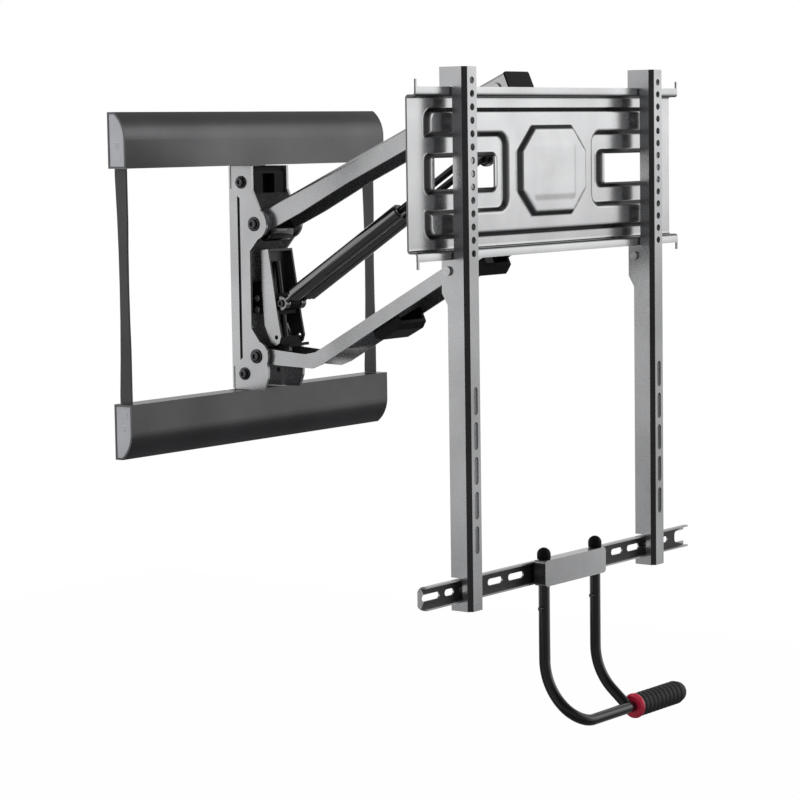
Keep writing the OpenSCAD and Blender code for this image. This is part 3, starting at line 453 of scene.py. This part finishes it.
# Grip: soft rounded ribs and a domed end
RIBS, RIB_STEPS, RIB_H = 10, 8, 1.5
grip = bmesh.new()
profile = [(0, 11.5), (0.4, 13.2)]
for k in range(RIBS * RIB_STEPS + 1):
    d = 1.5 + (GRIP_LEN - 12) * k / (RIBS * RIB_STEPS)
    lift = abs(math.sin(math.pi * k / RIB_STEPS)) ** 0.6
    profile.append((d, GRIP_R - RIB_H + RIB_H * lift))
for a in steps_to(QUARTER, 8):
    profile.append((GRIP_LEN - 9.5 + 13 * math.sin(a), 13.5 * max(math.cos(a), 0.12)))
lathe(grip, mm(GRIP_X, GRIP_F, GRIP_Z), (1, 0, 0), profile, 40)
finish_mesh("grip_foam", grip, foam, "handle", "handle_grip", "grip_end_plug", sharp=60)

# Red ring with a rounded rim
RING_W, RING_BORE = 8.0, 7.3
ring = bmesh.new()
profile = [(0.0, RING_BORE), (0.2, 11.0)]
for k in range(9):
    a = math.pi * (k / 8 - 0.5)
    profile.append((RING_W / 2 + 3.9 * math.sin(a), 12.2 + 3.7 * math.cos(a)))
profile += [(RING_W, 11.0), (RING_W, RING_BORE)]
lathe(ring, mm(GRIP_X - RING_W, GRIP_F, GRIP_Z), (1, 0, 0), profile, 40)
finish_mesh("grip_flange", ring, ring_red, "handle", "grip_ring", sharp=50)

# Ball caps on the two legs
BALL_R, BALL_DROP = 8.5, 3.7
balls = bmesh.new()
dome = [(0.0, 7.2), (0.0, 8.0), (1.2, 8.4), (5.0, BALL_R)]
for a in steps_to(QUARTER, 10):
    dome.append((6 + BALL_R * math.sin(a), BALL_R * max(math.cos(a), 0.02)))
for sx in (-1, 1):
    lathe(balls, mm(sx * TUBE_X, TUBE_F, TUBE_TOP - BALL_DROP), (0, 0, 1), dome, 28)
finish_mesh("ball_caps", balls, black_plastic, "handle", "handle_ball_caps", sharp=50)


# Pins and bolts, each turned with its washers, chamfers and hexagon sockets
for level, z in (("upper", PIVOT_UP), ("lower", PIVOT_LOW)):
    pin = bmesh.new()
    head = head_profile(CHEEK_OUT, washer_r=9.5, washer_t=1.5, head_r=6.6, head_h=3.0,
                        socket=3.6)
    profile = two_ended([(CHEEK_OUT - 0.1, PIN_R)] + head)
    lathe(pin, mm(0, PIVOT_F, z), (1, 0, 0), profile, 36, sockets=2)
    finish_mesh(level + "_pivot_bolt", pin, black_bolt, "wall_frame", level + "_pivot_pin")

bolts = bmesh.new()
head = head_profile(CHEEK_OUT, washer_r=8.5, washer_t=1.5, head_r=6.4, head_h=3.5, socket=3.2)
profile = [(CHEEK_IN - 3, 3.2), (CHEEK_OUT, 3.2)] + head
for sx in (-1, 1):
    for sz in (-1, 1):
        lathe(bolts, mm(0, FIX_F, sz * FIX_Z), (sx, 0, 0), profile, 36, sockets=1)
finish_mesh("cheek_socket_bolts", bolts, black_bolt, "wall_frame", "cheek_bolts")

bolts = bmesh.new()
profile = [(24.7, 4.3), (25.0, 4.5), (27.4, 4.5), (28.0, 3.8), (28.0, 2.2), (26.4, 2.2)]
for sx in (-1, 1):
    for z in (SCREW_Z, SCREW_Z - SCREW_PITCH):
        lathe(bolts, mm(0, SCREW_F, z), (sx, 0, 0), profile, 30, sockets=1)
finish_mesh("channel_socket_screws", bolts, zinc, "wall_frame", "channel_screws")

foot = bmesh.new()
half = SPRING_X + 7
profile = two_ended([(half - 2, 5.0), (half - 0.4, 5.0), (half, 4.6), (half, 2.9),
                     (half - 2.4, 2.9)])
lathe(foot, mm(0, SPRING_F, SPRING_Z), (1, 0, 0), profile, 32, sockets=2)
finish_mesh("spring_foot_pin", foot, black_bolt, "wall_frame", "spring_lower_pin")


def cover_place(points, top):
    """Moves (f, z) points from a cover's foot to the upper cover, or mirrored to the lower."""
    return [(f, top * (COVER_FOOT + z)) for f, z in points]


def cover_profile(e, top):
    """Outline of a cover's end, e inside its edge, as (f, z) points."""
    pts = [(e, e), (COVER_D - e, e), (COVER_D - e, COVER_H - COVER_KNEE)]
    r = COVER_R - e
    cf, cz = COVER_D - COVER_R, COVER_H - COVER_KNEE
    stop = math.acos((e - cf) / r)
    high = math.asin(min(1.0, (COVER_H - e - cz) / r))
    for a in steps_to(min(stop, high), 24):
        pts.append((cf + r * math.cos(a), cz + r * math.sin(a)))
    if high < stop:
        pts.append((e, COVER_H - e))
    return cover_place(pts, top)


# End caps: a dark rim that follows the cover, and a grey face set a little into it with a
# small round boss and a low block
RIM_IN, RIM_OUT, RIM_W = 259.0, 262.0, 2.6
FACE_IN, FACE_OUT, MARK_FOOT, BLOCK_TOP = 252.0, 261.3, 261.0, 261.8
BLOCK = (9.5, 21.5, 9.0, 17.0)
BOSS_F, BOSS_Z, BOSS_R = 15.0, 30.0, 3.4
boss = [(0, BOSS_R), (0.7, BOSS_R), (0.9, BOSS_R - 0.3), (0.9, BOSS_R - 1.2),
        (0.35, BOSS_R - 1.4)]
for level, top in (("upper", 1), ("lower", -1)):
    for hand, sx in (("left", -1), ("right", 1)):
        rim = bmesh.new()
        outer, inner = cover_profile(0.0, top), cover_profile(RIM_W, top)
        loops = [(RIM_IN, inner), (RIM_IN, outer), (RIM_OUT, outer), (RIM_OUT, inner)]
        bridge(rim, [[rim.verts.new(mm(sx * x, f, z)) for f, z in line] for x, line in loops],
               closed=True)
        finish_mesh("cap_rim_%s_%s" % (level, hand), rim, cover_plastic, "wall_frame",
                    "cover_cap_%s_%s" % (level, hand))
        face = bmesh.new()
        prism(face, level_ends(cover_profile(RIM_W + 0.05, top), sx * FACE_IN, sx * FACE_OUT))
        boss_at = cover_place([(BOSS_F, BOSS_Z)], top)[0]
        lathe(face, mm(sx * MARK_FOOT, *boss_at), (sx, 0, 0), boss, 24)
        block = cover_place(box_outline(*BLOCK), top)
        prism(face, level_ends(block, sx * MARK_FOOT, sx * BLOCK_TOP))
        finish_mesh("cap_face_%s_%s" % (level, hand), face, cap_plastic, "wall_frame",
                    slot="cap_plastic")


def copy_piece(name, node, body, materials, choose=None):
    """A CAD node's mesh as a piece of its own, with a material chosen for each face."""
    mesh = nodes[node].data.copy()
    mesh.name = name
    mesh.materials.clear()
    for m in materials:
        mesh.materials.append(m)
    for f in mesh.polygons:
        f.material_index = choose(f.center * 1000, f.normal) if choose else 0
    o = bpy.data.objects.new(name, mesh)
    scene.collection.objects.link(o)
    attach(o, body)
    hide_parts(node)
    return o


def apply_modifiers(piece):
    """Gives a piece its evaluated mesh, and takes its modifiers off."""
    bpy.context.view_layer.update()
    graph = bpy.context.evaluated_depsgraph_get()
    fresh = bpy.data.meshes.new_from_object(piece.evaluated_get(graph))
    piece.modifiers.clear()
    piece.data = fresh


def cut_away(piece, blocks):
    """Takes closed prisms out of a piece, and paints the cut faces black as painted shade."""
    bm = bmesh.new()
    for ends in blocks:
        prism(bm, ends)
    bmesh.ops.recalc_face_normals(bm, faces=bm.faces)
    mesh = bpy.data.meshes.new("cutter")
    mesh.materials.append(painted_shade_black)
    bm.to_mesh(mesh)
    bm.free()
    cutter = bpy.data.objects.new("cutter", mesh)
    scene.collection.objects.link(cutter)
    mod = piece.modifiers.new("cut", "BOOLEAN")
    mod.operation = "DIFFERENCE"
    mod.solver = "EXACT"
    mod.material_mode = "TRANSFER"
    mod.object = cutter
    apply_modifiers(piece)
    bpy.data.objects.remove(cutter)


# The tension channel keeps the steel on its outer sides and is painted black within as painted
# shade; the crossbar's web and the clamp's two end faces are painted black as painted shade and
# painted dark reflection
copy_piece("tension_channel_skin", "tension_channel", "wall_frame", [steel, painted_shade_black],
           lambda c, n: 0 if abs(c.x) > CHANNEL_SIDE and abs(n.x) > 0.9 else 1)
copy_piece("crossbar_skin", "crossbar", "plate", [steel, painted_shade_black],
           lambda c, n: 1 if abs(n.y) > 0.9 and -c.y < BAR_F + 4 and abs(c.x) < BAR_END else 0)
copy_piece("clamp_skin", "clamp_bracket", "plate", [steel, painted_shade_black],
           lambda c, n: 1 if abs(n.x) > 0.9 else 0)

# Rails with flattened corners along their two front edges, the flat faces painted black as
# painted dark reflection. The cutters stand past the edges and past both ends
CORNER, PAST, CUT_LOW, CUT_HIGH = 5.0, 3.0, -380, 270
for hand, x in (("left", -RAIL_X), ("right", RAIL_X)):
    rail = copy_piece("rail_" + hand, "tv_rail_" + hand, "plate", [steel])
    wedges = []
    for sx in (-1, 1):
        edge = x + sx * RAIL_HALF
        wedge = [(edge + sx * PAST, RAIL_FRONT + PAST),
                 (edge + sx * PAST, RAIL_FRONT - CORNER - PAST),
                 (edge - sx * (CORNER + PAST), RAIL_FRONT + PAST)]
        wedges.append(upright_ends(wedge, CUT_LOW, CUT_HIGH))
    cut_away(rail, wedges)

# Column with a groove down each side and its tabs trimmed beside the cheeks, all cut faces
# painted black as painted shade. Each cut has a range in F, in Z and in X
GROOVE_F, GROOVE_Z, GROOVE_X = (14.0, 20.6), (-114, 114), (32.2, 36.0)
WING_F, WING_Z, WING_X = (-2, 12), (90, 148.6), (34.3, 50.0)
column = copy_piece("column_skin", "column", "wall_frame", [steel, painted_shade_black])
groove = box_outline(*GROOVE_F, *GROOVE_Z)
cuts = [level_ends(groove, *(sx * x for x in GROOVE_X)) for sx in (-1, 1)]
for sx in (-1, 1):
    for sz in (-1, 1):
        wing = box_outline(*WING_F, *(sz * z for z in WING_Z))
        cuts.append(level_ends(wing, *(sx * x for x in WING_X)))
cut_away(column, cuts)

# Hub of the upper arm: a moulded cam round the pivot that hangs a little below it. A circle is
# (f, z, radius) from the pivot
CAM_CIRCLES = ((0.0, 0.0, 11.5), (5.0, -10.0, 13.5))
CAM_STEPS = 48


def cam_outline(grow):
    """Outline round both circles, larger by grow."""
    pts = []
    for k in range(CAM_STEPS):
        a = 2 * math.pi * k / CAM_STEPS
        d = Vector((math.cos(a), math.sin(a)))
        c = max(CAM_CIRCLES, key=lambda c: c[0] * d.x + c[1] * d.y + c[2])
        reach = c[2] + grow
        pts.append((PIVOT_F + c[0] + reach * d.x, PIVOT_UP + c[1] + reach * d.y))
    return pts


cam = bmesh.new()
layers = two_ended([(20.6, 0.0), (22.0, -0.6), (22.6, -1.6)])
bridge(cam, [[cam.verts.new(mm(x, f, z)) for f, z in cam_outline(g)] for x, g in layers])
finish_mesh("arm_hub_cam", cam, handle_enamel, "upper_arm", "upper_arm_hub")


# Stamped plate: one sheet with sloped steps round its raised panels, its edges folded forward
# and up into lips. A panel is (half width, half height, corner radius) about its middle
PANEL = (250.0, 76.0, 14.0)
WELL, WELL_X = (100.0, 42.0, 12.0), 195.0
ISLAND, ISLAND_X = (71.5, 24.0, 9.0), 178.5
CROWN = (46.0, 36.0, 8.0)
OCTAGON_X, OCTAGON_Z, OCTAGON_CUT = 73.0, 55.0, 30.0
RISE, CROWN_RISE, STEP_START, STEP_W = 6.0, 0.5, 0.4, 7.6
WINDOW_IN, WINDOW_OUT, WINDOW_Z = 118.0, 237.0, 19.0
SHEET_T, FOLD, LIP_F, LIP_H = 2.5, 3.2, 13.0, 9.0
PITCH, NEAR_WELL = 1.9, 7.0


def rounded_box(x, z, half_x, half_z, r):
    """Signed distance to a rounded rectangle, negative inside."""
    qx, qz = abs(x) - half_x + r, abs(z) - half_z + r
    return math.hypot(max(qx, 0.0), max(qz, 0.0)) + min(max(qx, qz), 0.0) - r


def octagon(x, z):
    """Signed distance to the middle octagon."""
    past_x, past_z = abs(x) - OCTAGON_X, abs(z) - OCTAGON_Z
    return max(past_x, past_z, (past_x + past_z + OCTAGON_CUT) / math.sqrt(2))


def step(d):
    """Share of a stamped step's height at a signed distance from its foot."""
    t = min(max((-d + STEP_START) / STEP_W, 0.0), 1.0)
    return t * t * (3 - 2 * t)


def stamp_height(x, z):
    """How far the sheet stands forward at a place measured from the plate's middle."""
    panel = rounded_box(x, z, *PANEL)
    well = rounded_box(abs(x) - WELL_X, z, *WELL)
    island = rounded_box(abs(x) - ISLAND_X, z, *ISLAND)
    edge = min(max(panel, -well), island)
    crown = rounded_box(x, z, *CROWN)
    return RISE * step(edge) + RISE * step(octagon(x, z)) + CROWN_RISE * step(crown)


def fold_points(sign):
    """(f, z) of the sheet's middle from its flat part over both folds to the lip's edge."""
    edge = sign * (PLATE_H / 2 - SHEET_T / 2)
    flat = -SHEET_T / 2
    lip = LIP_F - SHEET_T / 2
    pts = []
    for a in steps_to(QUARTER, 6):
        pts.append((flat + FOLD * (1 - math.cos(a)), edge - sign * FOLD * (1 - math.sin(a))))
    pts.append(((flat + lip) / 2, edge))
    for a in [0.0] + steps_to(QUARTER, 6):
        pts.append((lip - FOLD + FOLD * math.sin(a), edge + sign * FOLD * (1 - math.cos(a))))
    pts.append((lip, edge + sign * (LIP_H + SHEET_T / 2 - 1)))
    pts.append((lip, edge + sign * (LIP_H + SHEET_T / 2)))
    return pts


def grid_lines(half, fixed):
    """Evenly spaced lines from -half to half, with the fixed ones in place of near ones."""
    count = int(2 * half / PITCH)
    lines = set(round(-half + 2 * half * k / count, 3) for k in range(count + 1))
    for f in fixed:
        near = [v for v in lines if abs(v - f) < PITCH * 0.55 and abs(abs(v) - half) > 0.01]
        lines -= set(near)
        lines.add(f)
    return sorted(lines)


def refine(lines, edges):
    """Halves the spacing of the grid lines near each stamped step."""
    extra = [(a + b) / 2 for a, b in zip(lines, lines[1:])
             if any(e - 9 < abs(a + b) / 2 < e + 2 for e in edges)]
    return sorted(lines + extra)


steps_x = (PANEL[0], ISLAND_X - ISLAND[0], WELL_X - WELL[0] + NEAR_WELL, OCTAGON_X)
steps_z = (PANEL[1], WELL[1] + NEAR_WELL, ISLAND[1], OCTAGON_Z)
xs = grid_lines(PLATE_W / 2, (-WINDOW_OUT, -WINDOW_IN, WINDOW_IN, WINDOW_OUT))
xs = refine(xs, steps_x)
# Above and below the windows the stamping changes only with height, so few upright lines do
xs = [x for i, x in enumerate(xs) if not WINDOW_IN + 3 < abs(x) < WINDOW_OUT - 3 or i % 4 == 0]
flat_half = PLATE_H / 2 - SHEET_T / 2 - FOLD
zs = refine(grid_lines(flat_half, (-WINDOW_Z, WINDOW_Z)), steps_z)
rows = [(f, z, False) for f, z in reversed(fold_points(-1))]
rows += [(-SHEET_T / 2, z, True) for z in zs]
rows += [(f, z, False) for f, z in fold_points(1)]
sheet = bmesh.new()
net = []
for f, z, stamped in rows:
    stand = [SHEET_F + f + (stamp_height(x, z) if stamped else 0.0) for x in xs]
    net.append([sheet.verts.new(mm(x, s, PLATE_Z + z)) for x, s in zip(xs, stand)])
for j in range(len(rows) - 1):
    za, zb = rows[j][1], rows[j + 1][1]
    for i in range(len(xs) - 1):
        xm, zm = abs(xs[i] + xs[i + 1]) / 2, (za + zb) / 2
        in_window = WINDOW_IN < xm < WINDOW_OUT and abs(zm) < WINDOW_Z
        if rows[j][2] and rows[j + 1][2] and in_window:
            continue
        sheet.faces.new((net[j][i], net[j][i + 1], net[j + 1][i + 1], net[j + 1][i]))
bmesh.ops.delete(sheet, geom=[v for v in sheet.verts if not v.link_faces], context="VERTS")
plate = finish_mesh("stamped_plate", sheet, plate_paint, "plate", "vesa_plate", sharp=179)
thick = plate.modifiers.new("thickness", "SOLIDIFY")
thick.thickness = SHEET_T / 1000
thick.offset = 0
thick.use_even_offset = True
apply_modifiers(plate)
plate.data.set_sharp_from_angle(angle=math.radians(75))

# Small upright ears at the four ends of the lips
EAR_H, EAR_IN, EAR_OUT = 8.6, PLATE_W / 2 - 2.8, PLATE_W / 2 - 0.1
ears = bmesh.new()
for sx in (-1, 1):
    for sz in (-1, 1):
        z0 = PLATE_Z + sz * (PLATE_H / 2 + LIP_H - 1)
        z1 = PLATE_Z + sz * (PLATE_H / 2 + LIP_H + EAR_H)
        ear = box_outline(SHEET_F + LIP_F - SHEET_T + 0.1, SHEET_F + LIP_F - 0.1, z0, z1)
        prism(ears, level_ends(ear, sx * EAR_IN, sx * EAR_OUT))
finish_mesh("plate_ears", ears, plate_paint, "plate", slot=slot_of["vesa_plate"])


# Small button screw on top of the upper arm near the wall
BUTTON_X, BUTTON_ALONG, BUTTON_UP = -4, 34.0, 14.8
button = bmesh.new()
up = Vector((0, math.sin(ARM_TILT), math.cos(ARM_TILT)))
along = Vector((0, -math.cos(ARM_TILT), math.sin(ARM_TILT)))
spot = mm(BUTTON_X, PIVOT_F, PIVOT_UP) + (along * BUTTON_ALONG + up * BUTTON_UP) / 1000
profile = [(0.0, 5.0), (0.3, 5.2), (1.4, 4.6), (2.4, 3.2), (2.6, 1.8), (1.2, 1.8)]
lathe(button, spot, up, profile, 28, sockets=1)
finish_mesh("arm_button_screw", button, black_bolt, "upper_arm", slot="bolt_zinc")


def camera():
    """Camera at the photograph's place: front left, a little above."""
    yaw, pitch, roll = (math.radians(a) for a in (-52.14, 5.793, -0.843))
    flat = Vector((math.sin(yaw), -math.cos(yaw), 0))
    back = flat * math.cos(pitch) + Vector((0, 0, math.sin(pitch)))
    level = Vector((math.cos(yaw), math.sin(yaw), 0))
    upright = back.cross(level)
    right = math.cos(roll) * level + math.sin(roll) * upright
    up = math.cos(roll) * upright - math.sin(roll) * level
    data = bpy.data.cameras.new("camera")
    data.lens = 118.08
    data.sensor_width = 36
    data.sensor_fit = "HORIZONTAL"
    data.clip_end = 50
    o = bpy.data.objects.new("camera", data)
    scene.collection.objects.link(o)
    m = Matrix((right, up, back)).transposed().to_4x4()
    m.translation = Vector((-2.6583, -2.3227, 0.1876))
    o.matrix_world = m
    scene.camera = o


def floor_white():
    """Material that is white to the eye with a trace of shadow, and a plain grey to light."""
    m, tree, shader = new_material("floor_white")
    shader.inputs["Base Color"].default_value = (0.28, 0.28, 0.28, 1)
    shader.inputs["Roughness"].default_value = 0.9
    white = tree.nodes.new("ShaderNodeEmission")
    white.inputs["Color"].default_value = (1, 1, 1, 1)
    rays = tree.nodes.new("ShaderNodeLightPath")
    share = maths(tree, "MULTIPLY", rays.outputs["Is Camera Ray"], 0.99)
    both = mix_shader(tree, share, shader.outputs[0], white.outputs[0])
    tree.links.new(both, tree.get_output_node("ALL").inputs[0])
    return m


def backdrop():
    """World that is white to the eye, a plain soft light to matt surfaces, and to gloss a white
    backdrop that darkens towards the front left of the room and towards straight up and down."""
    world = bpy.data.worlds.new("studio")
    scene.world = world
    world.use_nodes = True
    tree = world.node_tree
    tree.nodes.clear()

    def background(colour, strength):
        """A background shader of one colour, with a plain or linked strength."""
        b = tree.nodes.new("ShaderNodeBackground")
        b.inputs[0].default_value = rgba(colour)
        feed(tree, b.inputs[1], strength)
        return b.outputs[0]

    where = tree.nodes.new("ShaderNodeTexCoord")
    side = tree.nodes.new("ShaderNodeVectorMath")
    side.operation = "DOT_PRODUCT"
    side.inputs[1].default_value = (-0.74, -0.64, 0.12)
    tree.links.new(where.outputs["Generated"], side.inputs[0])
    fade = ramp(tree, side.outputs["Value"], 0.2, 0.62, 0.85, 0.3)
    parts = tree.nodes.new("ShaderNodeSeparateXYZ")
    tree.links.new(where.outputs["Generated"], parts.inputs[0])
    steep = maths(tree, "ABSOLUTE", parts.outputs["Z"])
    strength = maths(tree, "MULTIPLY", fade, ramp(tree, steep, 0.3, 0.75, 1.0, 0.3))
    rays = tree.nodes.new("ShaderNodeLightPath")
    to_gloss = maths(tree, "MAXIMUM", rays.outputs["Is Glossy Ray"],
                     rays.outputs["Is Transmission Ray"])
    lit = mix_shader(tree, to_gloss, background((0.93, 0.95, 1.0), 0.4),
                     background((1, 1, 1), strength))
    seen = mix_shader(tree, rays.outputs["Is Camera Ray"], lit, background((1, 1, 1), 1.0))
    out = tree.nodes.new("ShaderNodeOutputWorld")
    tree.links.new(seen, out.inputs[0])


def area(name, place, aim, size, power, glossy=True):
    """Rectangular lamp that the camera doesn't see."""
    data = bpy.data.lights.new(name, "AREA")
    data.shape = "RECTANGLE"
    data.size, data.size_y = size
    data.energy = power
    o = bpy.data.objects.new(name, data)
    scene.collection.objects.link(o)
    o.location = place
    o.rotation_euler = (Vector(aim) - Vector(place)).to_track_quat("-Z", "Y").to_euler()
    o.visible_camera = False
    o.visible_glossy = glossy


camera()

FLOOR_HALF = 2.6
floor_z = cad_box[0][2] - 0.45
corners = [(x * FLOOR_HALF, y * FLOOR_HALF, floor_z) for x, y in box_outline(-1, 1, -1, 1)]
floor_mesh = bpy.data.meshes.new("floor")
floor_mesh.from_pydata(corners, [], [(0, 1, 2, 3)])
floor_mesh.materials.append(floor_white())
floor = bpy.data.objects.new("floor", floor_mesh)
scene.collection.objects.link(floor)

backdrop()
middle = (0, -0.3, 0.0)
area("right_box", (2.3, -2.5, 1.0), middle, (2.0, 2.2), 11)
area("left_box", (-2.3, 1.7, 0.7), middle, (2.0, 2.6), 7)
area("top_box", (-0.3, -0.8, 3.0), middle, (2.4, 2.4), 26, glossy=False)

scene.view_settings.view_transform = "Standard"
